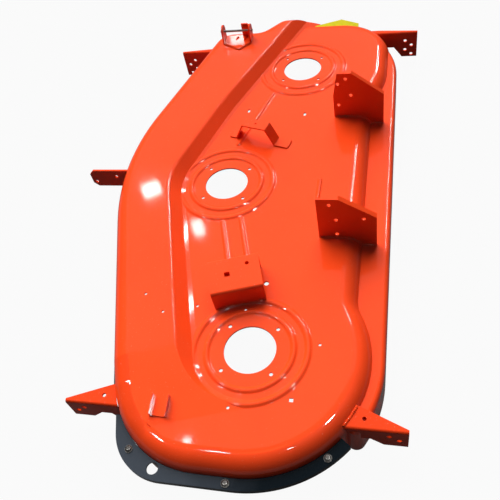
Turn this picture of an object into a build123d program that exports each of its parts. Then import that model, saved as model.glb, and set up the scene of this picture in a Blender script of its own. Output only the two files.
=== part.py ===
"""Lawn mower deck: a pressed three-spindle shell with its welded brackets and left-hand bumper.

Units are millimetres. The origin is the centre spindle hole on the deck's top face.
X runs to the discharge end, Y runs forward and Z runs up.
"""
import os
from math import asin, atan2, cos, degrees, radians, sin, sqrt, tan

from build123d import *

os.makedirs("parts", exist_ok=True)

# Spindle layout, seen from above
spindle_pitch = 504.0  # end spindle from the centre spindle, along the deck
spindle_lead = 151.0  # centre spindle ahead of the end spindles
spindle_bore = 117.0
spindle_bolt_square = 110.0
spindle_bolt_hole = 9.0

# Pressed sheet
sheet = 4.0
deck_depth = 120.0  # rim below the top face
edge_radius = 45.0  # pressed edge between the top and the walls

# Wall outline, measured from the spindles
end_radius = 266.0  # rear bulge round each end spindle
bulge_blend = 80.0
rear_tie = 227.0  # straight rear wall behind the end spindles
front_wall_left = 309.0  # front wall ahead of the left spindle line
front_wall_right = 346.0  # front wall ahead of the right spindle line
nose_radius = 735.0  # wide round between the two front walls
front_left_radius = 220.0
right_overhang = 264.0  # right wall beyond the right spindle
rear_right_radius = 165.0
end_front = 100.0  # front of the right wall, ahead of the right spindle
end_front_radius = 60.0
chute_overhang = 196.0  # discharge corner beyond the right spindle
chute_rear = 161.0
chute_rear_radius = 40.0
chute_front_radius = 70.0

# Raised front tunnel
tunnel_rise = 30.0
step_angle = 50.0  # slope of the step, from the vertical
crest_radius = 16.0  # pressed round along the top of the step
foot_radius = 30.0  # pressed round along its foot, made as one flat
crest_offset = 158.0  # top of the step, ahead of the spindle lines
crest_centre_radius = 220.0
crest_bend = 290.0  # place on the right spindle line where the crest turns back
crest_bend_angle = 4.5
crest_bend_radius = 600.0
ramp_start = 495.0  # the tunnel falls to the top face between these places on the left line
ramp_end = 660.0

# Rear shelf below the bulged rear wall
shelf_drop = 26.0
rim_radius = 290.0
rim_edge = 12.0
shelf_left_angle = 236.0
shelf_right_angle = 297.0
shelf_end_radius = 20.0

# Pressed beads
bead_height = 4.0
bead_sink = 0.1  # foot of a bead below the sheet's face
inner_ring_radius = 97.0
inner_ring_width = 20.0
outer_ring_radius = 128.0
outer_ring_width = 22.0
left_bead_side = 24.0  # beads each side of the left spindle line
left_bead_width = 18.0
left_bead_start = 138.0
left_bead_end = 300.0
right_bead_side = 39.0  # bead ahead of the right spindle line
right_bead_width = 21.0
right_bead_start = 150.0
right_bead_end = 385.0
rear_bead_width = 16.0
rear_bead_back = 254.0
rear_bead_left = 52.0
rear_bead_right = 13.0

# Small holes in the shell, placed on the top face
cover_hole = 7.0
cover_hole_places = [(-399, -7), (-642, -128), (-481, -302), (-403, -124), (-392, 115), (-438, 60)]
drain_hole = 12.0
drain_hole_place = (-327, -161)
square_hole = 9.0
square_hole_place = (-613, -256)
belt_slot_length = 15.0
belt_slot_width = 8.0
belt_slot_places = [(303, -11), (283, -183)]

# Discharge mouth in the right wall
mouth_rear = 26.0  # ahead of the right spindle
mouth_front = 231.0
mouth_drop = 22.0  # top of the mouth below the top face

# Wheel brackets, folded from one thickness
bracket_sheet = 5.0
bracket_bend = 6.0
bracket_top = 18.0  # top flange below the top face
bracket_reach = 120.0  # tip out from the wall
bracket_root = 100.0  # stock that runs into the wall before it is trimmed
bracket_left_drop = 84.0  # lowest edge below the top face
bracket_right_drop = 108.0
bracket_leg = 9.0  # leg that follows the wall down
bracket_left_arch = 60.0  # underside between the leg and the wheel post
bracket_right_arch = 72.0
bracket_arch_start = 22.0
bracket_arch_end = 46.0
bracket_post = 48.0  # width of the wheel post
bracket_left_flange = 58.0  # width of the top flange at the wall
bracket_right_flange = 18.0
bracket_flange_tip = 8.0
bracket_hole = 10.5
bracket_hole_inner = 38.0  # back from the tip
bracket_hole_outer = 18.0
bracket_left_hole_top = 41.0  # below the top face
bracket_right_hole_top = 49.0
bracket_hole_step = 16.5
bracket_left_rows = 2
bracket_right_rows = 4
flange_hole = 9.0
flange_hole_out = 33.0
flange_hole_side = 23.0
wheel_left_x = 654.0
wheel_front_right_x = 645.0
wheel_rear_right_x = 704.0

# Link brackets
link_plate = 6.0
link_left_x = 182.0
link_right_x = 269.0
link_front = 120.0  # behind the end spindles
link_rim_gap = 31.0  # rear edge ahead of the rim
link_left_height = 134.0
link_right_height = 146.0
link_top_width = 52.0
link_shoulder = 75.0
link_right_cut = 13.0  # upper front corner cut back
link_lip = 14.0  # turned edge on the slope
link_hole = 10.0
link_left_holes = [(30, 115), (44, 64), (44, 13), (109, 70)]  # behind the front edge, above the top
link_right_holes = [(36, 128), (49, 74), (14, 112), (14, 41)]
front_link_x = 30.0
front_link_reach = 108.0
front_link_top = 16.0
front_link_bottom = 44.0
front_link_chamfer = 13.0
front_link_hole_in = 28.0
front_link_hole_out = 12.0

# Gearbox bracket, an inverted channel across the left spindle line
gear_sheet = 5.0
gear_bend = 7.0
gear_near = 405.0  # legs, measured along the line from the centre spindle
gear_far = 306.0
gear_front = 66.0  # sides, measured across the line
gear_rear = 55.0
gear_height = 58.0
gear_square_hole = 13.0
gear_square_place = 355.0
gear_square_side = 23.0
gear_hole = 10.0
gear_hole_place = 333.0
gear_hole_side = 26.0

# Idler bridge, a bent strip across the right spindle line
bridge_sheet = 4.0
bridge_width = 34.0
bridge_place = 172.0
bridge_height = 54.0
bridge_front_foot = 77.0
bridge_front_heel = 55.0
bridge_front_top = 28.0
bridge_rear_top = 40.0
bridge_rear_heel = 63.0
bridge_rear_foot = 104.0
bridge_hole = 7.0

# Cover hook, a small open channel
hook_sheet = 3.0
hook_length = 44.0
hook_width = 38.0
hook_height = 15.0
hook_along = 622.0  # place on the ramp, along the left spindle line and ahead of it
hook_ahead = 203.0

# Chute hinge at the discharge corner
hinge_sheet = 5.0
hinge_length = 96.0
hinge_x = 655.0  # far edge of the base
hinge_y = 77.0
hinge_side = 40.0  # depth of the base at its ends
hinge_depth = 78.0  # depth of the base at its point
hinge_point = 64.0  # place of the point
hinge_slot_length = 24.0
hinge_slot_width = 9.0
hinge_slot_pitch = 30.0
hinge_ear_width = 40.0
hinge_ear_height = 54.0
hinge_tab_width = 34.0
hinge_tab_height = 48.0
hinge_tab_chamfer = 14.0
hinge_pin = 7.0
hinge_pin_clearance = 0.25
hinge_pin_overhang = 6.0

# Chute stop plate at the right end
stop_sheet = 4.0
stop_top = 8.0
stop_front_in = 20.0  # front corner, in from the right wall and level with the right spindle
stop_tip_out = 17.0  # beyond the right wall
stop_tip_back = 101.0
stop_rear_in = 12.0
stop_rear_back = 160.0

# Bumper plate round the left end and its strip along the front
bumper_sheet = 4.0
bumper_top = 38.0
bumper_height = 14.0
bumper_gap = 0.3
bumper_reach = 24.0  # outer edge beyond the end wall
bumper_front_reach = 4.0
bumper_corner = 124.0
bumper_rear_angle = 232.0
bumper_front_x = 664.0
bumper_hole = 25.0
bumper_hole_out = 16.0  # out from the front-left corner of the wall
bumper_hole_angle = 158.5
strip_reach = 10.0
strip_left = 540.0  # ends, measured along the line from the centre spindle
strip_right = 75.0

# Bumper fasteners
bolt_size = 8.0
bolt_clearance = 0.5
bolt_flange = 17.0
bolt_flange_height = 1.6
bolt_head = 14.0
bolt_head_height = 6.5
bolt_head_round = 4.0
nut_width = 13.0
bolt_length = 16.0
nut_height = 6.5
front_bolt_out = 17.5  # out from the front-left corner of the wall
front_bolt_angle = 141.5
end_bolt_y = 142.0
rear_bolt_angle = 222.0

# Places worked out from the sizes above
spindle_angle = degrees(atan2(spindle_lead, spindle_pitch))
spindles = [(-spindle_pitch, -spindle_lead), (0, 0), (spindle_pitch, -spindle_lead)]
left_spindle, centre_spindle, right_spindle = spindles
left_line = Plane(
    origin=(0, 0, 0),
    x_dir=(cos(radians(spindle_angle)), sin(radians(spindle_angle)), 0),
    z_dir=(0, 0, 1),
)
right_line = Plane(
    origin=(0, 0, 0),
    x_dir=(cos(radians(spindle_angle)), -sin(radians(spindle_angle)), 0),
    z_dir=(0, 0, 1),
)
left_end_x = -spindle_pitch - end_radius
right_end_x = spindle_pitch + right_overhang
end_front_y = -spindle_lead + end_front
chute_x = spindle_pitch + chute_overhang
chute_rear_y = -spindle_lead + chute_rear
tie_angle = degrees(asin(rear_tie / end_radius))
nose_corner = (
    (front_wall_right - front_wall_left) / (2 * sin(radians(spindle_angle))),
    (front_wall_right + front_wall_left) / (2 * cos(radians(spindle_angle))),
)
nose_y = nose_corner[1] - nose_radius * (1 / cos(radians(spindle_angle)) - 1)
stock = 2 * (right_end_x - left_end_x)  # longer than the part, for cutting planes
ramp_fall = atan2(tunnel_rise, ramp_end - ramp_start)
ramp_face = Plane(
    origin=left_line.from_local_coords((-ramp_start, 0, tunnel_rise)),
    x_dir=left_line.y_dir,
    z_dir=Vector(0, 0, cos(ramp_fall)) - left_line.x_dir * sin(ramp_fall),
)
foot_slope = radians(90 - step_angle) / 2  # slope of the flat along the foot of the step
foot_top = foot_radius * (1 - cos(1.5 * foot_slope) / cos(foot_slope / 2))
foot_out = (tunnel_rise - foot_top) / tan(2 * foot_slope)  # ahead of the crest


def polar(centre, radius, angle):
    """Point at a radius and an angle in degrees about a centre."""
    return (
        centre[0] + radius * cos(radians(angle)),
        centre[1] + radius * sin(radians(angle)),
    )


def front_left_y(x, beyond=0.0):
    """Y of the straight front wall on the left, or of a line that lies beyond it."""
    return (front_wall_left + beyond + x * sin(radians(spindle_angle))) / cos(radians(spindle_angle))


def front_right_y(x):
    """Y of the straight front wall on the right."""
    return (front_wall_right - x * sin(radians(spindle_angle))) / cos(radians(spindle_angle))


def corner(sketch, point):
    """Corner of a sketch that lies nearest to a point."""
    return sketch.vertices().sort_by_distance(Vector(point))[0]


def wall_outline(inset):
    """Plan of the deck walls, moved inwards by the inset."""
    rear_right = (right_end_x, -spindle_lead - end_radius)
    end_corner = (right_end_x, end_front_y)
    notch = (chute_x, chute_rear_y)
    chute_corner = (chute_x, front_right_y(chute_x))
    front_left = (left_end_x, front_left_y(left_end_x))
    with BuildSketch() as plan:
        with BuildLine():
            left_bulge = CenterArc(left_spindle, end_radius, 180, 180 - tie_angle)
            tie_end = polar(right_spindle, end_radius, 180 + tie_angle)
            Line(left_bulge @ 1, tie_end)
            right_bulge = CenterArc(right_spindle, end_radius, 180 + tie_angle, 90 - tie_angle)
            Polyline(
                right_bulge @ 1,
                rear_right,
                end_corner,
                notch,
                chute_corner,
                nose_corner,
                front_left,
                left_bulge @ 0,
            )
        make_face()
        fillet(corner(plan, left_bulge @ 1), bulge_blend)
        fillet(corner(plan, tie_end), bulge_blend)
        fillet(corner(plan, rear_right), rear_right_radius)
        fillet(corner(plan, end_corner), end_front_radius)
        fillet(corner(plan, notch), chute_rear_radius)
        fillet(corner(plan, chute_corner), chute_front_radius)
        fillet(corner(plan, nose_corner), nose_radius)
        fillet(corner(plan, front_left), front_left_radius)
        if inset:
            offset(amount=-inset, kind=Kind.INTERSECTION)
    return plan.sketch


def tunnel_plan(inset):
    """Plan of everything ahead of the crest, moved inwards for the underside of the sheet."""
    slant = radians(step_angle)
    shrink = inset * (1 - sin(slant)) / cos(slant)
    centre_corner = (0, crest_offset / cos(radians(spindle_angle)))
    bend = right_line.from_local_coords((crest_bend, crest_offset))
    bend_corner = (bend.X, bend.Y)
    far_end = polar(bend_corner, stock / 4, -spindle_angle - crest_bend_angle)
    with BuildSketch() as plan:
        with BuildLine():
            crest = CenterArc(left_spindle, crest_offset, 90 + spindle_angle, 90 - spindle_angle)
            Polyline(
                crest @ 0,
                centre_corner,
                bend_corner,
                far_end,
                (far_end[0], stock / 4),
                (-stock / 4, stock / 4),
                (-stock / 4, -stock / 4),
                (-spindle_pitch - crest_offset, -stock / 4),
                crest @ 1,
            )
        make_face()
        fillet(corner(plan, centre_corner), crest_centre_radius)
        fillet(corner(plan, bend_corner), crest_bend_radius)
        if shrink:
            offset(amount=-shrink, kind=Kind.INTERSECTION)
    return plan.sketch


def bead_section(width, whole):
    """Section of a bead, or half of it: a round crest that runs out into the sheet by a hollow foot."""
    half = width / 2
    with BuildSketch() as section:
        with BuildLine():
            crest = TangentArc((0, bead_height), (half / 2, bead_height / 2), tangent=(1, 0))
            foot = TangentArc(crest @ 1, (half, 0), tangent=crest % 1)
            Polyline(foot @ 1, (half, -sheet), (0, -sheet), (0, bead_height))
        make_face()
        if whole:
            mirror(about=Plane.YZ)
    return section.sketch


def bead_bar(line, start, end, side, width, level):
    """Straight bead with round ends along a spindle line."""
    ends = [line.from_local_coords((place, side, level)) for place in (start, end)]
    with BuildPart() as bar:
        with BuildSketch(Plane(origin=ends[0], x_dir=line.y_dir, z_dir=line.x_dir)):
            add(bead_section(width, True))
        extrude(amount=end - start)
        for place in ends:
            with BuildSketch(Plane(origin=place, x_dir=line.y_dir, z_dir=line.x_dir)):
                add(bead_section(width, False))
            revolve(axis=Axis(place, (0, 0, 1)))
    return bar.part


def pressed_form(inset):
    """Solid under the outside of the sheet, or under its inside when inset by the thickness."""
    plan = wall_outline(inset)
    base = Plane.XY.offset(-deck_depth - 2 * inset)
    base_depth = deck_depth + 2 * inset
    round_edge = edge_radius - inset
    ramp_top = ramp_face.origin
    mitre = Plane(origin=ramp_top, x_dir=left_line.y_dir, z_dir=Vector(0, 0, 1) - ramp_face.z_dir)

    # Lower level, under the spindles
    with BuildPart() as low:
        with BuildSketch(base):
            add(plan)
        extrude(amount=base_depth - inset)
        fillet(low.faces().sort_by(Axis.Z)[-1].edges(), round_edge)

    # Upper level, as far as the start of the ramp
    with BuildPart() as upper:
        with BuildSketch(base):
            add(plan)
        extrude(amount=base_depth - inset + tunnel_rise)
        fillet(upper.faces().sort_by(Axis.Z)[-1].edges(), round_edge)
        split(bisect_by=mitre, keep=Keep.TOP)

    # Ramp from the upper to the lower level at the left end
    lap = Plane(origin=ramp_top + left_line.x_dir * edge_radius, z_dir=left_line.x_dir)
    heel = Plane.XZ.offset(spindle_lead + 2 * tunnel_rise)
    roof = ramp_face.offset(-inset)
    with BuildPart() as ramp:
        with BuildSketch(base):
            add(plan)
        extrude(amount=base_depth + 2 * tunnel_rise)
        split(bisect_by=roof, keep=Keep.BOTTOM)
        split(bisect_by=lap, keep=Keep.BOTTOM)
        split(bisect_by=heel, keep=Keep.BOTTOM)
        slope = ramp.faces().filter_by(GeomType.PLANE).sort_by(Axis.Z)[-1]
        ends = [lap, heel]
        rounded = [
            edge
            for edge in slope.edges()
            if min(abs(end.to_local_coords(edge.center()).Z) for end in ends) > inset + 1
        ]
        fillet(rounded, round_edge)
        split(bisect_by=mitre, keep=Keep.BOTTOM)

    # Sloped step along the crest
    with BuildPart() as raised:
        with BuildSketch(Plane.XY.offset(tunnel_rise - inset)):
            add(tunnel_plan(inset))
        extrude(amount=-tunnel_rise - 2 * edge_radius, taper=-step_angle)
        fillet(raised.faces().sort_by(Axis.Z)[-1].edges(), crest_radius - inset)
        with BuildSketch(Plane.XY.offset(foot_top - inset / cos(foot_slope))):
            add(tunnel_plan(0))
            offset(amount=foot_out, kind=Kind.INTERSECTION)
        extrude(amount=-foot_radius / 2, taper=degrees(foot_slope) - 90)
        add(upper.part + ramp.part, mode=Mode.INTERSECT)

    # Shelf behind the rear wall
    with BuildPart() as shelf:
        with BuildSketch(base) as shelf_plan:
            with BuildLine():
                left_rim = CenterArc(
                    left_spindle, rim_radius, shelf_left_angle, 270 - shelf_left_angle
                )
                right_rim = CenterArc(right_spindle, rim_radius, 270, shelf_right_angle - 270)
                Line(left_rim @ 1, right_rim @ 0)
                inner_y = -spindle_lead - rim_radius / 2
                Polyline(
                    right_rim @ 1,
                    (spindle_pitch + rim_radius / 3, inner_y),
                    (-spindle_pitch - rim_radius / 3, inner_y),
                    left_rim @ 0,
                )
            make_face()
            fillet(corner(shelf_plan, left_rim @ 0), shelf_end_radius)
            fillet(corner(shelf_plan, right_rim @ 1), shelf_end_radius)
            if inset:
                offset(amount=-inset, kind=Kind.INTERSECTION)
        extrude(amount=base_depth - shelf_drop - inset)
        fillet(shelf.faces().sort_by(Axis.Z)[-1].edges(), rim_edge - inset)

    with BuildPart() as whole:
        add(low.part)
        add(raised.part)
        add(shelf.part)
    return whole.part


def pressed_beads(inset):
    """Ring beads round the spindles and straight beads between them, on one side of the sheet."""
    level = -inset - bead_sink
    left_bar = (-left_bead_start, -left_bead_end)
    right_bar = (right_bead_start, right_bead_end, right_bead_side, right_bead_width)
    rear_bar = (-rear_bead_left, rear_bead_right, -rear_bead_back, rear_bead_width)
    rings = [(inner_ring_radius, inner_ring_width), (outer_ring_radius, outer_ring_width)]
    with BuildPart() as beads:
        for x, y in spindles:
            for radius, width in rings:
                with BuildSketch(Plane(origin=(x, y, level), x_dir=(1, 0, 0), z_dir=(0, -1, 0))):
                    with Locations((radius, 0)):
                        add(bead_section(width, True))
                revolve(axis=Axis((x, y, level), (0, 0, 1)))
        for side in (-left_bead_side, left_bead_side):
            add(bead_bar(left_line, *left_bar, side, left_bead_width, level))
        add(bead_bar(right_line, *right_bar, level))
        add(bead_bar(Plane.XY, *rear_bar, level))
    return beads.part


outer_form = pressed_form(0)
inner_form = pressed_form(sheet)
outer_beads = pressed_beads(0)
inner_beads = pressed_beads(sheet)

# Deck shell
with BuildPart() as outer_skin:
    add(outer_form)
    add(outer_beads)

with BuildPart() as inner_skin:
    add(inner_form)
    add(inner_beads)

with BuildPart() as deck_shell:
    add(outer_skin.part)
    add(inner_skin.part, mode=Mode.SUBTRACT)
    # Spindle bores and their bolts
    with Locations(*spindles):
        Cylinder(spindle_bore / 2, 2 * tunnel_rise, mode=Mode.SUBTRACT)
        with GridLocations(spindle_bolt_square, spindle_bolt_square, 2, 2):
            Cylinder(spindle_bolt_hole / 2, 2 * tunnel_rise, mode=Mode.SUBTRACT)
    # Small holes in the top face and in the tunnel
    with BuildSketch(Plane.XY.offset(tunnel_rise)):
        with Locations(*cover_hole_places):
            Circle(cover_hole / 2)
        with Locations(drain_hole_place):
            Circle(drain_hole / 2)
        with Locations(square_hole_place):
            Rectangle(square_hole, square_hole)
        with Locations(*belt_slot_places):
            SlotOverall(belt_slot_length, belt_slot_width)
    extrude(amount=-2 * tunnel_rise, mode=Mode.SUBTRACT)
    # Discharge mouth
    with Locations((right_end_x + sheet, -spindle_lead + mouth_rear, -mouth_drop)):
        Box(
            right_end_x - chute_x + chute_front_radius,
            mouth_front - mouth_rear,
            deck_depth,
            align=(Align.MAX, Align.MIN, Align.MAX),
            mode=Mode.SUBTRACT,
        )
deck_shell.part.label = "deck_shell"
export_step(deck_shell.part, "parts/deck_shell.step")


def wheel_bracket(x, wall_y, way, shape):
    """Folded wheel bracket on the front wall (way 1) or the rear wall (way -1)."""
    drop, arch, flange_root, hole_top, rows = shape
    tip_y = wall_y + way * bracket_reach
    side_points = [
        (-bracket_root, -bracket_top),
        (bracket_reach, -bracket_top),
        (bracket_reach, -drop),
        (bracket_reach - bracket_post, -drop),
        (bracket_arch_end, -arch),
        (bracket_arch_start, -arch),
        (bracket_leg, -drop),
        (-bracket_root, -drop),
    ]
    hole_points = [
        ((bracket_hole_inner, bracket_hole_outer)[row % 2], hole_top + row * bracket_hole_step)
        for row in range(rows)
    ]
    with BuildPart() as bracket:
        with BuildSketch(Plane.YZ.offset(x)):
            with BuildLine():
                Polyline(*[(wall_y + way * out, z) for out, z in side_points], close=True)
            make_face()
            with Locations(*[(tip_y - way * back, -down) for back, down in hole_points]):
                Circle(bracket_hole / 2, mode=Mode.SUBTRACT)
        extrude(amount=bracket_sheet)
        with BuildSketch(Plane.XY.offset(-bracket_top)):
            with BuildLine():
                Polyline(
                    (x, wall_y - way * bracket_root),
                    (x, tip_y),
                    (x + bracket_flange_tip, tip_y),
                    (x + flange_root, wall_y),
                    (x + flange_root, wall_y - way * bracket_root),
                    close=True,
                )
            make_face()
            if flange_root > flange_hole_side + flange_hole:
                with Locations((x + flange_hole_side, wall_y + way * flange_hole_out)):
                    Circle(flange_hole / 2, mode=Mode.SUBTRACT)
        extrude(amount=-bracket_sheet)
        top_edges = bracket.edges().filter_by(Axis.Y).group_by(Axis.Z)[-1]
        fillet(top_edges.sort_by(Axis.X)[0], bracket_bend)
        add(outer_form, mode=Mode.SUBTRACT)
    return bracket.part


# Wheel brackets
front_left_wall = front_left_y(-wheel_left_x)
front_right_wall = front_right_y(wheel_front_right_x)
rear_left_wall = -spindle_lead - sqrt(end_radius**2 - (wheel_left_x - spindle_pitch) ** 2)
rear_right_side = wheel_rear_right_x - right_end_x + rear_right_radius
rear_right_wall = (
    -spindle_lead
    - end_radius
    + rear_right_radius
    - sqrt(rear_right_radius**2 - rear_right_side**2)
)
left_shape = (
    bracket_left_drop,
    bracket_left_arch,
    bracket_left_flange,
    bracket_left_hole_top,
    bracket_left_rows,
)
right_shape = (
    bracket_right_drop,
    bracket_right_arch,
    bracket_right_flange,
    bracket_right_hole_top,
    bracket_right_rows,
)
wheel_places = {
    "front_left_wheel_bracket": (-wheel_left_x, front_left_wall, 1, left_shape),
    "front_right_wheel_bracket": (wheel_front_right_x, front_right_wall, 1, right_shape),
    "rear_left_wheel_bracket": (-wheel_left_x, rear_left_wall, -1, left_shape),
    "rear_right_wheel_bracket": (wheel_rear_right_x, rear_right_wall, -1, right_shape),
}
for name, place in wheel_places.items():
    bracket_part = wheel_bracket(*place)
    bracket_part.label = name
    export_step(bracket_part, f"parts/{name}.step")


def link_bracket(x, height, front_cut, holes):
    """Tall link plate standing on the top face and the shelf, with a turned edge."""
    front_y = -spindle_lead - link_front
    rear_y = -spindle_lead - rim_radius + link_rim_gap
    foot = -shelf_drop - edge_radius / 2
    crown = Vector(front_y - link_top_width, height)
    shoulder = Vector(rear_y, link_shoulder)
    inward = (shoulder - crown).normalized().rotate(Axis.Z, 90) * link_plate
    with BuildPart() as bracket:
        with BuildSketch(Plane.YZ.offset(x)):
            with BuildLine():
                Polyline(
                    (front_y, foot),
                    (front_y, height / 2),
                    (front_y - front_cut, height),
                    crown,
                    shoulder,
                    (rear_y, foot),
                    close=True,
                )
            make_face()
            with Locations(*[(front_y - behind, above) for behind, above in holes]):
                Circle(link_hole / 2, mode=Mode.SUBTRACT)
        extrude(amount=link_plate)
        with BuildSketch(Plane.YZ.offset(x)):
            with BuildLine():
                Polyline(crown, shoulder, shoulder + inward, crown + inward, close=True)
            make_face()
        extrude(amount=link_lip)
        add(outer_form, mode=Mode.SUBTRACT)
    return bracket.part


# Link brackets at the rear
rear_left_link_bracket = link_bracket(-link_left_x, link_left_height, 0, link_left_holes)
rear_left_link_bracket.label = "rear_left_link_bracket"
export_step(rear_left_link_bracket, "parts/rear_left_link_bracket.step")
rear_right_link_bracket = link_bracket(
    link_right_x, link_right_height, link_right_cut, link_right_holes
)
rear_right_link_bracket.label = "rear_right_link_bracket"
export_step(rear_right_link_bracket, "parts/rear_right_link_bracket.step")

# Link bracket at the front
with BuildPart() as front_link_bracket:
    with BuildSketch(Plane.YZ.offset(front_link_x)) as front_link_side:
        with Locations((nose_y - edge_radius, -front_link_bottom)):
            Rectangle(
                front_link_reach + edge_radius,
                front_link_bottom + front_link_top,
                align=(Align.MIN, Align.MIN),
            )
        chamfer(front_link_side.vertices().group_by(Axis.X)[-1], front_link_chamfer)
        with Locations(
            (nose_y + front_link_hole_in, -front_link_chamfer / 2),
            (nose_y + front_link_reach - front_link_hole_out, -2 * front_link_chamfer),
        ):
            Circle(link_hole / 2, mode=Mode.SUBTRACT)
    extrude(amount=link_plate)
    add(outer_form, mode=Mode.SUBTRACT)
front_link_bracket.part.label = "front_link_bracket"
export_step(front_link_bracket.part, "parts/front_link_bracket.step")

# Gearbox bracket
gear_side = Plane(
    origin=left_line.from_local_coords((0, gear_front, 0)),
    x_dir=left_line.x_dir,
    z_dir=-left_line.y_dir,
)
with BuildPart() as gearbox_bracket:
    with BuildSketch(gear_side) as gear_profile:
        with Locations((-gear_near, 0)):
            Rectangle(gear_near - gear_far, gear_height, align=(Align.MIN, Align.MIN))
        fillet(gear_profile.vertices().group_by(Axis.Y)[-1], gear_bend)
        with BuildLine():
            Polyline(
                (-gear_near + gear_sheet, 0),
                (-gear_near + gear_sheet, gear_height - gear_sheet),
                (-gear_far - gear_sheet, gear_height - gear_sheet),
                (-gear_far - gear_sheet, 0),
                close=True,
            )
        make_face(mode=Mode.SUBTRACT)
    extrude(amount=gear_front + gear_rear)
    with BuildSketch(left_line.offset(gear_height)):
        with Locations((-gear_square_place, gear_square_side)):
            Rectangle(gear_square_hole, gear_square_hole)
        with Locations((-gear_hole_place, -gear_hole_side)):
            Circle(gear_hole / 2)
    extrude(amount=-gear_sheet, mode=Mode.SUBTRACT)
    add(outer_skin.part, mode=Mode.SUBTRACT)
gearbox_bracket.part.label = "gearbox_bracket"
export_step(gearbox_bracket.part, "parts/gearbox_bracket.step")

# Idler bridge
bridge_side = Plane(
    origin=right_line.from_local_coords((bridge_place, 0, 0)),
    x_dir=right_line.y_dir,
    z_dir=right_line.x_dir,
)
with BuildPart() as idler_bridge:
    with BuildSketch(bridge_side):
        with BuildLine():
            Polyline(
                (-bridge_rear_foot, 0),
                (-bridge_rear_heel, 0),
                (-bridge_rear_top, bridge_height - bridge_sheet),
                (bridge_front_top, bridge_height - bridge_sheet),
                (bridge_front_heel, 0),
                (bridge_front_foot, 0),
            )
            offset(amount=bridge_sheet, side=Side.LEFT)
        make_face()
    extrude(amount=bridge_width)
    with BuildSketch(right_line.offset(bridge_height)):
        with Locations((bridge_place + bridge_width / 2, (bridge_front_top - bridge_rear_top) / 2)):
            Circle(bridge_hole / 2)
    extrude(amount=-bridge_sheet, mode=Mode.SUBTRACT)
idler_bridge.part.label = "idler_bridge"
export_step(idler_bridge.part, "parts/idler_bridge.step")

# Cover hook, standing on the ramp with its channel along the deck
hook_down = (hook_along - ramp_start) / cos(ramp_fall)
hook_way = (Vector(1, 0, 0) - ramp_face.z_dir * ramp_face.z_dir.X).normalized()
hook_end = Plane(
    origin=ramp_face.from_local_coords((hook_ahead, hook_down, 0)),
    x_dir=ramp_face.z_dir.cross(hook_way),
    z_dir=hook_way,
)
with BuildPart() as cover_hook:
    with BuildSketch(hook_end):
        Rectangle(hook_width, hook_height, align=(Align.CENTER, Align.MIN))
        with Locations((0, hook_sheet)):
            Rectangle(
                hook_width - 2 * hook_sheet,
                hook_height,
                align=(Align.CENTER, Align.MIN),
                mode=Mode.SUBTRACT,
            )
    extrude(amount=hook_length / 2, both=True)
cover_hook.part.label = "cover_hook"
export_step(cover_hook.part, "parts/cover_hook.step")

# Chute hinge bracket, a pointed base with an ear at each end and a tab beside the right ear
pin_x = hinge_x - hinge_ear_width / 2
pin_z = tunnel_rise + hinge_ear_height - hinge_ear_width / 2
hinge_left = hinge_y + hinge_length / 2
hinge_right = hinge_y - hinge_length / 2
with BuildPart() as chute_hinge_bracket:
    with BuildSketch(Plane.XY.offset(tunnel_rise)):
        with BuildLine():
            Polyline(
                (hinge_x, hinge_right),
                (hinge_x, hinge_left),
                (hinge_x - hinge_side, hinge_left),
                (hinge_x - hinge_depth, hinge_point),
                (hinge_x - hinge_side, hinge_right),
                close=True,
            )
        make_face()
        with Locations((pin_x, hinge_point)):
            with GridLocations(0, hinge_slot_pitch, 1, 2):
                SlotOverall(hinge_slot_length, hinge_slot_width, mode=Mode.SUBTRACT)
    extrude(amount=hinge_sheet)
    for ear_y in (hinge_right + hinge_sheet, hinge_left):
        with BuildSketch(Plane.XZ.offset(-ear_y)) as ear:
            with Locations((pin_x, tunnel_rise)):
                Rectangle(
                    hinge_ear_width,
                    hinge_ear_height - hinge_ear_width / 2,
                    align=(Align.CENTER, Align.MIN),
                )
            with Locations((pin_x, pin_z)):
                Circle(hinge_ear_width / 2)
                Circle(hinge_pin / 2 + hinge_pin_clearance, mode=Mode.SUBTRACT)
        extrude(amount=hinge_sheet)
    with BuildSketch(Plane.YZ.offset(hinge_x - hinge_sheet)) as tab:
        with Locations((hinge_right, tunnel_rise)):
            Rectangle(hinge_tab_width, hinge_tab_height, align=(Align.MIN, Align.MIN))
        chamfer(tab.vertices().group_by(Axis.Y)[-1].sort_by(Axis.X)[0], hinge_tab_chamfer)
    extrude(amount=hinge_sheet)
chute_hinge_bracket.part.label = "chute_hinge_bracket"
export_step(chute_hinge_bracket.part, "parts/chute_hinge_bracket.step")

# Chute hinge pin, resting in the two ears
with BuildPart() as chute_hinge_pin:
    with Locations((pin_x, hinge_y, pin_z - hinge_pin_clearance)):
        Cylinder(hinge_pin / 2, hinge_length + 2 * hinge_pin_overhang, rotation=(90, 0, 0))
chute_hinge_pin.part.label = "chute_hinge_pin"
export_step(chute_hinge_pin.part, "parts/chute_hinge_pin.step")

# Chute stop plate
with BuildPart() as chute_stop_plate:
    with BuildSketch(Plane.XY.offset(-stop_top)):
        with BuildLine():
            Polyline(
                (right_end_x - 2 * edge_radius, -spindle_lead),
                (right_end_x - stop_front_in, -spindle_lead),
                (right_end_x + stop_tip_out, -spindle_lead - stop_tip_back),
                (right_end_x - stop_rear_in, -spindle_lead - stop_rear_back),
                (right_end_x - 2 * edge_radius, -spindle_lead - stop_rear_back),
                close=True,
            )
        make_face()
    extrude(amount=-stop_sheet)
    add(outer_form, mode=Mode.SUBTRACT)
chute_stop_plate.part.label = "chute_stop_plate"
export_step(chute_stop_plate.part, "parts/chute_stop_plate.step")


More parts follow.
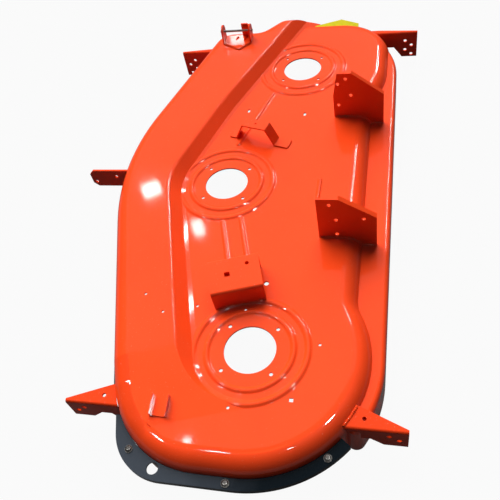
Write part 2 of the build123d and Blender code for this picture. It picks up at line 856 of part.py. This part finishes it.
def bumper_plan(shrink):
    """Plan inside the bumper plate's outer edge, closed through the deck."""
    outer_radius = end_radius + bumper_reach
    outer_x = -spindle_pitch - outer_radius
    corner_point = (outer_x, front_left_y(outer_x, bumper_front_reach))
    front_end = (-bumper_front_x, front_left_y(-bumper_front_x, bumper_front_reach))
    with BuildSketch() as plan:
        with BuildLine():
            rear = CenterArc(left_spindle, outer_radius, 180, bumper_rear_angle - 180)
            Polyline(
                rear @ 1,
                polar(left_spindle, end_radius / 2, bumper_rear_angle),
                (-bumper_front_x, -spindle_lead),
                front_end,
                corner_point,
                rear @ 0,
            )
        make_face()
        fillet(corner(plan, corner_point), bumper_corner)
        if shrink:
            offset(amount=-shrink, kind=Kind.INTERSECTION)
    return plan.sketch


# Bumper plate
bolt_radius = end_radius + (bumper_reach + bumper_gap) / 2
wall_corner_x = left_end_x + front_left_radius
wall_corner = (wall_corner_x, front_left_y(wall_corner_x, -front_left_radius))
bolt_places = [
    polar(wall_corner, front_left_radius + front_bolt_out, front_bolt_angle),
    (-spindle_pitch - bolt_radius, -end_bolt_y),
    polar(left_spindle, bolt_radius, rear_bolt_angle),
]
with BuildPart() as bumper_plate:
    with BuildSketch(Plane.XY.offset(-bumper_top)):
        add(bumper_plan(0))
        add(wall_outline(-bumper_gap), mode=Mode.SUBTRACT)
    extrude(amount=-bumper_height)
    with BuildSketch(Plane.XY.offset(-bumper_top - bumper_sheet)):
        add(bumper_plan(bumper_sheet))
        add(wall_outline(-bumper_gap - bumper_sheet), mode=Mode.SUBTRACT)
    extrude(amount=-bumper_height, mode=Mode.SUBTRACT)
    with BuildSketch(Plane.XY.offset(-bumper_top)):
        with Locations(*bolt_places):
            Circle(bolt_size / 2 + bolt_clearance)
        with Locations(polar(wall_corner, front_left_radius + bumper_hole_out, bumper_hole_angle)):
            Circle(bumper_hole / 2)
    extrude(amount=-bumper_sheet, mode=Mode.SUBTRACT)
bumper_plate.part.label = "bumper_plate"
export_step(bumper_plate.part, "parts/bumper_plate.step")

# Front bumper strip
strip_plan = left_line.offset(-bumper_top)
with BuildPart() as front_bumper_strip:
    with BuildSketch(strip_plan):
        with Locations((-strip_left, front_wall_left + bumper_gap)):
            Rectangle(strip_left - strip_right, strip_reach, align=(Align.MIN, Align.MIN))
    extrude(amount=-bumper_sheet)
    with BuildSketch(strip_plan):
        with Locations((-strip_left, front_wall_left + bumper_gap)):
            Rectangle(strip_left - strip_right, bumper_sheet, align=(Align.MIN, Align.MIN))
    extrude(amount=-bumper_height)
front_bumper_strip.part.label = "front_bumper_strip"
export_step(front_bumper_strip.part, "parts/front_bumper_strip.step")

# Bumper bolts, heads on the plate
with BuildPart() as bumper_bolts:
    with Locations(*[(x, y, -bumper_top) for x, y in bolt_places]):
        Cylinder(
            bolt_flange / 2, bolt_flange_height, align=(Align.CENTER, Align.CENTER, Align.MIN)
        )
        Cylinder(bolt_size / 2, bolt_length, align=(Align.CENTER, Align.CENTER, Align.MAX))
        Cylinder(bolt_head / 2, bolt_head_height, align=(Align.CENTER, Align.CENTER, Align.MIN))
    fillet(bumper_bolts.edges().group_by(Axis.Z)[-1], bolt_head_round)
bumper_bolts.part.label = "bumper_bolts"
export_step(bumper_bolts.part, "parts/bumper_bolts.step")

# Bumper nuts, under the plate
with BuildPart() as bumper_nuts:
    with BuildSketch(Plane.XY.offset(-bumper_top - bumper_sheet)):
        with Locations(*bolt_places):
            RegularPolygon(nut_width / 2, 6, major_radius=False)
            Circle(bolt_size / 2, mode=Mode.SUBTRACT)
    extrude(amount=-nut_height)
bumper_nuts.part.label = "bumper_nuts"
export_step(bumper_nuts.part, "parts/bumper_nuts.step")
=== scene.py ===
"""Looks for the mower deck: enamel, zinc, weld beads, the blank edge strip and a plain stage."""

from math import cos, pi, radians, sin, tan

import bpy
import numpy as np
from bpy.props import FloatProperty, FloatVectorProperty, PointerProperty
from mathutils import Matrix, Vector


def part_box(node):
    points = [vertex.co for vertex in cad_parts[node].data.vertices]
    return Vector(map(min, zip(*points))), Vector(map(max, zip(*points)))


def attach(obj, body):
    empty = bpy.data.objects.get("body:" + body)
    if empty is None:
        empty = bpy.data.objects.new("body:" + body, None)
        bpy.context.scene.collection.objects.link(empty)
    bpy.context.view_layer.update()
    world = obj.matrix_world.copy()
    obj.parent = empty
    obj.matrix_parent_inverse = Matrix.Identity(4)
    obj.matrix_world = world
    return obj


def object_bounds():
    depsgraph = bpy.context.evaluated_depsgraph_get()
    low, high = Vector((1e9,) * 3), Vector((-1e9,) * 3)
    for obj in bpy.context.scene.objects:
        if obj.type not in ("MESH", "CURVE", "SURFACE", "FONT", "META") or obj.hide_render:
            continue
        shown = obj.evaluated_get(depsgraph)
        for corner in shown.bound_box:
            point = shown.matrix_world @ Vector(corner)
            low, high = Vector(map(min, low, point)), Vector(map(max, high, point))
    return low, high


bl_info = {
    "name": "Mower Deck Looks",
    "version": (1, 0, 0),
    "blender": (4, 5, 0),
    "location": "View3D > Sidebar > Deck",
    "description": "Paints the packed mower deck, adds its weld beads and sets the stage",
    "category": "Object",
}

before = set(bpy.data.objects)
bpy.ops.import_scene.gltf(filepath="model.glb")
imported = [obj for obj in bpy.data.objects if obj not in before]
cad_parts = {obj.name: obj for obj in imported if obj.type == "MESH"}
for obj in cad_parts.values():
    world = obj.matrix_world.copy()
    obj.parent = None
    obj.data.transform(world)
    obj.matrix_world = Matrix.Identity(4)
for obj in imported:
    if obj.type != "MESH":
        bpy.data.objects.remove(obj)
cad_box = [list(corner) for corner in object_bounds()]

BODY = "root"

# CAD nodes by finish
DECK_NODES = [
    "deck_shell",
    "rear_left_link_bracket",
    "rear_right_link_bracket",
    "gearbox_bracket",
    "idler_bridge",
    "cover_hook",
    "chute_hinge_bracket",
]
BRACKET_NODES = [
    "front_left_wheel_bracket",
    "front_right_wheel_bracket",
    "rear_left_wheel_bracket",
    "rear_right_wheel_bracket",
    "front_link_bracket",
]
BUMPER_NODES = ["bumper_plate", "front_bumper_strip"]
ZINC_NODES = ["bumper_bolts", "bumper_nuts", "chute_hinge_pin"]
STRIP_NODES = ["chute_stop_plate"]

# Noise cells to a metre in each finish
TINT_GRAIN = 6.0
HAZE_GRAIN = 22.0
PEEL_GRAIN = 260.0
DUST_GRAIN = 420.0
# Ragged edge of the painted reflection on the bumper
BUMPER_SHEEN_GRAIN = 14.0
BUMPER_PEEL_GRAIN = 300.0
ZINC_GRAIN = 160.0
FILM_GRAIN = 60.0
CLOUDY = 3.0
FINE = 2.0

# How deep and how glossy the enamel is on the deck and on the drier brackets: the brackets' enamel is
# darker, half way to the deeper tint
DECK_DEEPENING, DECK_GLOSS = 0.0, 1.0
BRACKET_DEEPENING, BRACKET_GLOSS = 0.5, 0.25
TINT_SHARE = 0.15
DUST_SHARE = 0.35
DUST_COLOUR = (0.95, 0.62, 0.45, 1.0)
DULL_ZINC = (0.26, 0.25, 0.24, 1.0)
WORN_FILM = (0.24, 0.30, 0.004, 1.0)

# Direction that the flat ramp at the left end faces, and how closely a face has to look that way
RAMP_FACING = (-0.171, -0.051, 0.984)
RAMP_MATCH = (0.9985, 0.9997)

# Welded foot edges: node, direction that the edge faces in degrees, and height of the sheet under it
GEARBOX_TURN = 19.03
BRIDGE_TURN = 73.27
DECK_TOP = 0.0
TUNNEL_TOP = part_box("chute_hinge_bracket")[0][2]
FOOT_WELDS = [
    ("rear_left_link_bracket", 180.0, DECK_TOP),
    ("rear_right_link_bracket", 180.0, DECK_TOP),
    ("gearbox_bracket", GEARBOX_TURN, DECK_TOP),
    ("gearbox_bracket", 180.0 + GEARBOX_TURN, DECK_TOP),
    ("idler_bridge", BRIDGE_TURN, DECK_TOP),
    ("idler_bridge", 180.0 + BRIDGE_TURN, DECK_TOP),
    ("chute_hinge_bracket", 148.1, TUNNEL_TOP),
    ("chute_hinge_bracket", 227.4, TUNNEL_TOP),
]
ROOT_WELDS = ["rear_left_wheel_bracket"]
WELD_SLOT = "orange_paint"
WELD_SIDES = 12
WELD_RIPPLE = 0.16
RIPPLE_STEPS = 6
END_STEPS = 6.0
END_LEAST = 0.02

# Stage: sizes in metres, and shares of white
FLOOR_HALF = 6.0
FLOOR_GREY = (0.08, 0.08, 0.08, 1.0)
FLOOR_SEEN = 0.90
FLOOR_SHEEN = 0.06
FLOOR_GLOW = 1.05
SKY_SEEN = 0.95
WHITE = (1.0, 1.0, 1.0, 1.0)
SUN_FROM = Vector((0.64, 0.32, 0.70))
SUN_SPREAD = radians(70.0)

# Lamps seen only in reflections: name, direction from the discharge axis, height above level,
# width and length as angles seen from the deck, all in degrees, and brightness
LAMP_DISTANCE = 300.0
LAMPS = [
    ("ceiling", 18.0, 48.0, 53.0, 45.0, 0.27),
    ("window", 31.0, 42.0, 1.6, 1.2, 30.0),
    ("window_side", 27.1, 46.8, 1.0, 1.5, 24.0),
    ("hinge_pane", 16.4, 31.4, 1.8, 0.9, 12.0),
    ("low_pane", -13.0, 33.0, 1.2, 7.0, 55.0),
    ("low_side_pane", -19.0, 33.0, 1.2, 7.0, 55.0),
    ("high_pane", -11.5, 44.0, 0.8, 11.0, 50.0),
    ("high_side_pane", -17.5, 44.0, 0.8, 11.0, 50.0),
    ("left_lamp", 100.0, 58.0, 3.4, 2.6, 110.0),
    ("right_lamp", -87.0, 67.0, 4.0, 4.0, 160.0),
    ("near_lamp", -145.0, 68.0, 3.0, 3.0, 40.0),
    ("end_lamp", 109.0, 74.2, 2.4, 1.8, 70.0),
    ("corner_lamp", 43.8, 63.9, 0.5, 0.4, 55.0),
]


def colour(name, description, red, green, blue):
    """A colour that the user can change."""
    return FloatVectorProperty(
        name=name,
        description=description,
        subtype="COLOR",
        size=4,
        min=0.0,
        max=1.0,
        default=(red, green, blue, 1.0),
    )


class PaintSettings(bpy.types.PropertyGroup):
    """Colours of the deck's finishes."""

    enamel: colour("Enamel", "Colour of the deck's paint", 0.93, 0.064, 0.0085)
    enamel_shade: colour("Enamel shade", "Deeper tint that the paint takes in places", 0.60, 0.034, 0.004)
    bumper: colour("Bumper", "Colour of the black enamel on the bumper", 0.003, 0.006, 0.009)
    # Lighter colour painted on the bumper towards its front corner: a painted reflection of bright sky in
    # the black enamel
    bumper_sheen: colour("Bumper dust", "Colour of the dusty film on the bumper", 0.032, 0.040, 0.052)
    zinc: colour("Zinc", "Colour of the plated fasteners", 0.42, 0.40, 0.37)
    strip: colour("Edge strip", "Colour of the blank strip at the discharge end", 0.50, 0.42, 0.003)


class WeldSettings(bpy.types.PropertyGroup):
    """Size of the weld beads and where they are looked for."""

    radius: FloatProperty(
        name="Radius", description="Half the width of a bead", unit="LENGTH", default=0.0035
    )
    reach: FloatProperty(
        name="Reach", description="Depth of the near edge of a foot", unit="LENGTH", default=0.001
    )
    lift: FloatProperty(
        name="Lift", description="Height below which an edge is a foot", unit="LENGTH", default=0.004
    )
    top_depth: FloatProperty(
        name="Top depth", description="Depth of a bracket's top edge", unit="LENGTH", default=0.001
    )


class StageSettings(bpy.types.PropertyGroup):
    """Camera and light of the stage."""

    heading: FloatProperty(
        name="Heading",
        description="Direction of the view, from the discharge axis",
        subtype="ANGLE",
        default=radians(21.032),
    )
    tilt: FloatProperty(
        name="Tilt", description="Angle of the view below level", subtype="ANGLE", default=radians(50.175)
    )
    roll: FloatProperty(
        name="Roll", description="Turn of the picture", subtype="ANGLE", default=radians(14.688)
    )
    eye: FloatVectorProperty(
        name="Eye",
        description="Place of the camera",
        subtype="TRANSLATION",
        unit="LENGTH",
        default=(-1.135, -0.453, 1.164),
    )
    lens: FloatProperty(name="Lens", description="Focal length in millimetres", default=44.22)
    daylight: FloatProperty(
        name="Daylight", description="Strength of the soft light from above", default=6.4
    )
    sky: FloatProperty(name="Sky", description="Strength of the dim surroundings", default=0.05)
    glint: FloatProperty(
        name="Glint", description="Factor on the brightness of the reflected lamps", default=1.0
    )


class Value:
    """A socket on which Python arithmetic adds Math nodes."""

    def __init__(self, shader, socket):
        self.shader = shader
        self.socket = socket

    def __add__(self, other):
        return self.shader.math("ADD", self, other)

    def __sub__(self, other):
        return self.shader.math("SUBTRACT", self, other)

    def __rsub__(self, other):
        return self.shader.math("SUBTRACT", other, self)

    def __mul__(self, other):
        return self.shader.math("MULTIPLY", self, other)

    __radd__ = __add__
    __rmul__ = __mul__


class Shader:
    """A material or world whose nodes are written as expressions."""

    def __init__(self, block):
        self.block = block
        block.use_nodes = True
        self.tree = block.node_tree
        self.tree.nodes.clear()

    def node(self, kind, inputs=None, output=0, **settings):
        """Adds a node: its settings first, then the values or links of its sockets."""
        node = self.tree.nodes.new(kind)
        for name, value in settings.items():
            setattr(node, name, value)
        for name, value in (inputs or {}).items():
            if isinstance(value, Value):
                self.tree.links.new(value.socket, node.inputs[name])
            else:
                node.inputs[name].default_value = value
        return Value(self, node.outputs[output]) if len(node.outputs) else node

    def math(self, operation, first, second):
        """A Math node on two values, with no clamp."""
        return self.node("ShaderNodeMath", {0: first, 1: second}, operation=operation)

    def noise(self, place, grain, detail=CLOUDY):
        """Noise between 0 and 1."""
        return self.node(
            "ShaderNodeTexNoise", {"Vector": place, "Scale": grain, "Detail": detail}, output="Fac"
        )

    def step(self, value, low, high):
        """Smooth rise from 0 to 1 as a value goes from low to high."""
        return self.node(
            "ShaderNodeMapRange",
            {"Value": value, "From Min": low, "From Max": high},
            interpolation_type="SMOOTHSTEP",
        )

    def blend(self, factor, first, second):
        """Mix of two colours."""
        return self.node(
            "ShaderNodeMix", {"Factor": factor, 6: first, 7: second}, output=2, data_type="RGBA"
        )

    def part(self, vector, axis):
        """One coordinate of a vector."""
        return self.node("ShaderNodeSeparateXYZ", {0: vector}, output=axis)

    def place(self):
        """Object coordinates."""
        return self.node("ShaderNodeTexCoord", output="Object")

    def facing(self):
        """The surface's own normal."""
        return self.node("ShaderNodeNewGeometry", output="Normal")

    def ray(self, kind):
        """1 for rays of a kind, such as camera rays, and 0 for others."""
        return self.node("ShaderNodeLightPath", output=kind)

    def bump(self, height, strength, distance, normal):
        """A normal bent by a height."""
        return self.node(
            "ShaderNodeBump",
            {"Height": height, "Strength": strength, "Distance": distance, "Normal": normal},
        )

    def level(self, direction, match):
        """The surface's normal, turned upright on faces that look in a direction."""
        normal = self.facing()
        likeness = self.node(
            "ShaderNodeVectorMath", {0: normal, 1: direction}, output="Value", operation="DOT_PRODUCT"
        )
        return self.node(
            "ShaderNodeMix",
            {"Factor": self.step(likeness, *match), 4: normal, 5: (0.0, 0.0, 1.0)},
            output=1,
            data_type="VECTOR",
        )

    def finish(self, surface, output="ShaderNodeOutputMaterial"):
        """Connects the surface to the output and gives back what is painted."""
        self.node(output, {"Surface": surface})
        return self.block


def enamel_material(name, settings, deepening, gloss):
    """Orange enamel: slow tint changes, fine orange peel and a little dust, made darker by a given share of
    the deeper tint and drier by a given gloss.
    """
    shader = Shader(bpy.data.materials.new(name))
    place = shader.place()
    tint = shader.step(shader.noise(place, TINT_GRAIN), low=0.35, high=0.75)
    dust = shader.step(shader.noise(place, DUST_GRAIN, FINE), low=0.70, high=0.78)
    # Darker tone: a fixed share of the deeper tint on the brackets, plus slow random tint patches
    toned = shader.blend(deepening + tint * TINT_SHARE, tuple(settings.enamel), tuple(settings.enamel_shade))
    haze = shader.noise(place, HAZE_GRAIN)
    peel = shader.noise(place, PEEL_GRAIN, FINE)
    upright = shader.level(RAMP_FACING, RAMP_MATCH)
    surface = shader.node(
        "ShaderNodeBsdfPrincipled",
        {
            "Base Color": shader.blend(dust * DUST_SHARE, toned, DUST_COLOUR),
            "Roughness": 0.40 + haze * 0.15 + dust * 0.25,
            "Specular IOR Level": 0.1,
            "Normal": shader.bump(peel, strength=0.08, distance=0.0006, normal=upright),
            "Coat Weight": gloss - dust * 0.5 * gloss,
            "Coat Roughness": 0.05,
        },
    )
    return shader.finish(surface)


def bumper_material(settings):
    """Black enamel with fine orange peel, lightened towards the front corner by a painted reflection of
    bright sky, with a rougher base and more coat there.
    """
    shader = Shader(bpy.data.materials.new("bumper_enamel"))
    place = shader.place()
    # Painted reflection: the bumper lightens towards +Y, its front corner, over a ragged edge, and
    # roughness and coat rise with it
    drift = shader.noise(place, BUMPER_SHEEN_GRAIN) * 0.12
    painted_sheen = shader.step(shader.part(place, "Y") + drift, low=-0.16, high=0.02)
    peel = shader.noise(place, BUMPER_PEEL_GRAIN, FINE)
    surface = shader.node(
        "ShaderNodeBsdfPrincipled",
        {
            "Base Color": shader.blend(painted_sheen, tuple(settings.bumper), tuple(settings.bumper_sheen)),
            "Roughness": 0.22 + painted_sheen * 0.20,
            "Specular IOR Level": 0.1,
            "Normal": shader.bump(peel, strength=0.10, distance=0.0005, normal=shader.facing()),
            "Coat Weight": 0.1 + painted_sheen * 0.5,
            "Coat Roughness": 0.10,
        },
    )
    return shader.finish(surface)


def zinc_material(settings):
    """Zinc plating with a mottled grain."""
    shader = Shader(bpy.data.materials.new("zinc_plating"))
    mottle = shader.noise(shader.place(), ZINC_GRAIN)
    surface = shader.node(
        "ShaderNodeBsdfPrincipled",
        {
            "Base Color": shader.blend(mottle, tuple(settings.zinc), DULL_ZINC),
            "Metallic": 1.0,
            "Roughness": 0.26 + mottle * 0.2,
        },
    )
    return shader.finish(surface)


def strip_material(settings):
    """Blank film on the plate's top face, slightly scuffed, with enamel on its edges and underside."""
    shader = Shader(bpy.data.materials.new("edge_strip_film"))
    upward = shader.step(shader.part(shader.facing(), "Z"), low=0.3, high=0.7)
    toned = shader.step(shader.noise(shader.place(), FILM_GRAIN), low=0.40, high=0.80)
    film = shader.blend(toned * 0.5, tuple(settings.strip), WORN_FILM)
    surface = shader.node(
        "ShaderNodeBsdfPrincipled",
        {
            "Base Color": shader.blend(upward, tuple(settings.enamel), film),
            "Roughness": 0.35 + toned * 0.2,
            "Specular IOR Level": 0.15,
        },
    )
    return shader.finish(surface)


def floor_material():
    """White to the camera, faint in reflections, and dark to the light that it throws back."""
    shader = Shader(bpy.data.materials.new("pale_floor"))
    seen = (shader.ray("Is Camera Ray") + shader.ray("Is Transmission Ray")) * FLOOR_SEEN
    seen = seen + shader.ray("Is Glossy Ray") * FLOOR_SHEEN
    grey = shader.node("ShaderNodeBsdfDiffuse", {"Color": FLOOR_GREY})
    white = shader.node("ShaderNodeEmission", {"Color": WHITE, "Strength": FLOOR_GLOW})
    surface = shader.node("ShaderNodeMixShader", {"Fac": seen, 1: grey, 2: white})
    return shader.finish(surface)


def studio_world(sky):
    """Dim surroundings that show white to the camera."""
    shader = Shader(bpy.data.worlds.new("studio"))
    seen = shader.ray("Is Camera Ray") + shader.ray("Is Transmission Ray")
    strength = sky + seen * (SKY_SEEN - sky)
    surface = shader.node("ShaderNodeBackground", {"Color": WHITE, "Strength": strength})
    return shader.finish(surface, "ShaderNodeOutputWorld")


def give(nodes, material):
    """Puts a material on CAD nodes in place of their packed one."""
    for name in nodes:
        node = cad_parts[name]
        node.data.materials.clear()
        node.data.materials.append(material)


def new_piece(name, points, faces, material, slot):
    """A mesh piece from whole arrays of points and faces, riding on the deck."""
    mesh = bpy.data.meshes.new(name)
    mesh.from_pydata(points.tolist(), [], faces.tolist())
    mesh.materials.append(material)
    mesh.shade_smooth()
    piece = bpy.data.objects.new(name, mesh)
    bpy.context.scene.collection.objects.link(piece)
    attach(piece, BODY)
    return piece


def vertices(node):
    """All vertices of a CAD node as one array."""
    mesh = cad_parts[node].data
    points = np.empty(3 * len(mesh.vertices))
    mesh.vertices.foreach_get("co", points)
    return points.reshape(-1, 3)


def foot_path(node, facing, level, settings):
    """Points of a bracket's foot that lie furthest in the facing direction, in order along that edge."""
    points = vertices(node)
    outward = np.array((cos(radians(facing)), sin(radians(facing))))
    out = points[:, :2] @ outward
    near = points[out > out.max() - settings.reach]
    foot = near[near[:, 2] < level + settings.lift]
    return foot[np.argsort(foot[:, 1] * outward[0] - foot[:, 0] * outward[1])]


def root_path(node, settings):
    """Points of a bracket's top on the half nearer the deck's middle line, in order along the deck."""
    points = vertices(node)
    top = points[points[:, 2] > points[:, 2].max() - settings.top_depth]
    across = np.abs(top[:, 1])
    root = top[across < across.mean()]
    return root[np.argsort(root[:, 0])]


def spread(path, pitch, least=8):
    """The same path with even steps: each coordinate is interpolated over the length run so far."""
    run = np.concatenate([[0.0], np.cumsum(np.linalg.norm(np.diff(path, axis=0), axis=1))])
    steps = np.linspace(0.0, run[-1], max(int(run[-1] / pitch), least))
    return np.stack([np.interp(steps, run, path[:, axis]) for axis in range(3)], axis=1)


def weld_bead(path, radius):
    """Rippled bead along a path.

    Each ring is a circle about the path in the plane across it. Its radius swells and shrinks with a
    sine along the path, and it falls to nothing at the ends as the square root of the distance.
    """
    path = spread(path, radius / 4)
    along = np.gradient(path, axis=0)
    along /= np.linalg.norm(along, axis=1, keepdims=True)
    side = np.cross(along, (0.0, 0.0, 1.0))
    side /= np.linalg.norm(side, axis=1, keepdims=True)
    rise = np.cross(side, along)
    turn = np.linspace(0.0, 2 * pi, WELD_SIDES, endpoint=False)
    step = np.arange(len(path))
    ends = np.sqrt(np.clip(np.minimum(step, step[::-1]) / END_STEPS, END_LEAST, 1.0))
    swell = radius * ends * (1.0 + WELD_RIPPLE * np.sin(step * 2 * pi / RIPPLE_STEPS))
    ring = side[:, None] * np.cos(turn)[None, :, None] + rise[:, None] * np.sin(turn)[None, :, None]
    points = path[:, None] + swell[:, None, None] * ring
    row, column = np.meshgrid(np.arange(len(path) - 1), np.arange(WELD_SIDES), indexing="ij")
    after = (column + 1) % WELD_SIDES
    base = row * WELD_SIDES
    above = base + WELD_SIDES
    faces = np.stack([base + column, base + after, above + after, above + column])
    return points.reshape(-1, 3), faces.reshape(4, -1).T


class DECK_OT_paint(bpy.types.Operator):
    """Give every CAD node its finish"""

    bl_idname = "deck.paint"
    bl_label = "Paint the deck"

    def execute(self, context):
        settings = context.scene.deck_paint
        give(DECK_NODES, enamel_material("deck_enamel", settings, DECK_DEEPENING, DECK_GLOSS))
        give(BRACKET_NODES, enamel_material("bracket_enamel", settings, BRACKET_DEEPENING, BRACKET_GLOSS))
        give(BUMPER_NODES, bumper_material(settings))
        give(ZINC_NODES, zinc_material(settings))
        give(STRIP_NODES, strip_material(settings))
        return {"FINISHED"}


class DECK_OT_welds(bpy.types.Operator):
    """Add the weld beads at the feet and roots of the brackets"""

    bl_idname = "deck.welds"
    bl_label = "Add the welds"

    def execute(self, context):
        settings = context.scene.deck_weld
        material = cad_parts["deck_shell"].data.materials[0]
        paths = {}
        for number, (node, facing, level) in enumerate(FOOT_WELDS):
            paths[f"{node}_weld_{number + 1}"] = foot_path(node, facing, level, settings)
        for node in ROOT_WELDS:
            paths[f"{node}_weld"] = root_path(node, settings)
        for name, path in paths.items():
            new_piece(name, *weld_bead(path, settings.radius), material, WELD_SLOT)
        return {"FINISHED"}


def toward(azimuth, height):
    """Unit vector at an angle from the discharge axis and a height above level, both in radians."""
    return Vector((cos(height) * cos(azimuth), cos(height) * sin(azimuth), sin(height)))


def add_floor(scene):
    """A wide square under the deck's lower rim."""
    low = cad_box[0][2]
    corners = [(-1, -1), (1, -1), (1, 1), (-1, 1)]
    mesh = bpy.data.meshes.new("floor")
    mesh.from_pydata([(x * FLOOR_HALF, y * FLOOR_HALF, low) for x, y in corners], [], [(0, 1, 2, 3)])
    mesh.materials.append(floor_material())
    floor = bpy.data.objects.new("floor", mesh)
    scene.collection.objects.link(floor)


def add_light(scene, name, kind, place, strength):
    """A light that shines on the deck from a place."""
    light = bpy.data.lights.new(name, kind)
    light.energy = strength
    holder = bpy.data.objects.new(name, light)
    holder.location = place
    holder.rotation_euler = (-place).to_track_quat("-Z", "Y").to_euler()
    scene.collection.objects.link(holder)
    return holder


def add_lights(scene, settings):
    """Soft daylight that gives the shading, and far lamps that give the reflections."""
    sun = add_light(scene, "daylight", "SUN", SUN_FROM, settings.daylight)
    sun.data.angle = SUN_SPREAD
    sun.visible_glossy = False
    for name, azimuth, height, *spans, brightness in LAMPS:
        width, length = [2 * LAMP_DISTANCE * tan(radians(span) / 2) for span in spans]
        place = toward(radians(azimuth), radians(height)) * LAMP_DISTANCE
        power = brightness * settings.glint * pi * width * length
        lamp = add_light(scene, name, "AREA", place, power)
        lamp.data.shape = "RECTANGLE"
        lamp.data.size = width
        lamp.data.size_y = length
        lamp.visible_diffuse = False


def add_camera(scene, settings):
    """The camera, turned by its heading, its tilt and then its roll about the line of sight."""
    ahead = toward(settings.heading, -settings.tilt)
    level = Vector((sin(settings.heading), -cos(settings.heading), 0.0))
    down = ahead.cross(level)
    right = level * cos(settings.roll) + down * sin(settings.roll)
    up = level * sin(settings.roll) - down * cos(settings.roll)
    data = bpy.data.cameras.new("camera")
    data.lens = settings.lens
    camera = bpy.data.objects.new("camera", data)
    turn = Matrix((right, up, -ahead)).transposed().to_4x4()
    camera.matrix_world = Matrix.Translation(Vector(settings.eye)) @ turn
    scene.collection.objects.link(camera)
    scene.camera = camera


class DECK_OT_stage(bpy.types.Operator):
    """Add the floor, the world, the lights and the camera"""

    bl_idname = "deck.stage"
    bl_label = "Set the stage"

    def execute(self, context):
        scene = context.scene
        settings = scene.deck_stage
        scene.view_settings.view_transform = "Standard"
        add_floor(scene)
        scene.world = studio_world(settings.sky)
        add_lights(scene, settings)
        add_camera(scene, settings)
        return {"FINISHED"}


class DECK_PT_panel(bpy.types.Panel):
    """Buttons for the deck's looks"""

    bl_idname = "DECK_PT_panel"
    bl_label = "Mower deck"
    bl_space_type = "VIEW_3D"
    bl_region_type = "UI"
    bl_category = "Deck"

    def draw(self, context):
        for operator in (DECK_OT_paint, DECK_OT_welds, DECK_OT_stage):
            self.layout.operator(operator.bl_idname)


CLASSES = (
    PaintSettings,
    WeldSettings,
    StageSettings,
    DECK_OT_paint,
    DECK_OT_welds,
    DECK_OT_stage,
    DECK_PT_panel,
)


def register():
    for item in CLASSES:
        bpy.utils.register_class(item)
    bpy.types.Scene.deck_paint = PointerProperty(type=PaintSettings)
    bpy.types.Scene.deck_weld = PointerProperty(type=WeldSettings)
    bpy.types.Scene.deck_stage = PointerProperty(type=StageSettings)


def unregister():
    del bpy.types.Scene.deck_stage
    del bpy.types.Scene.deck_weld
    del bpy.types.Scene.deck_paint
    for item in reversed(CLASSES):
        bpy.utils.unregister_class(item)


def main():
    register()
    bpy.ops.deck.paint()
    bpy.ops.deck.welds()
    bpy.ops.deck.stage()


if __name__ == "__main__":
    main()
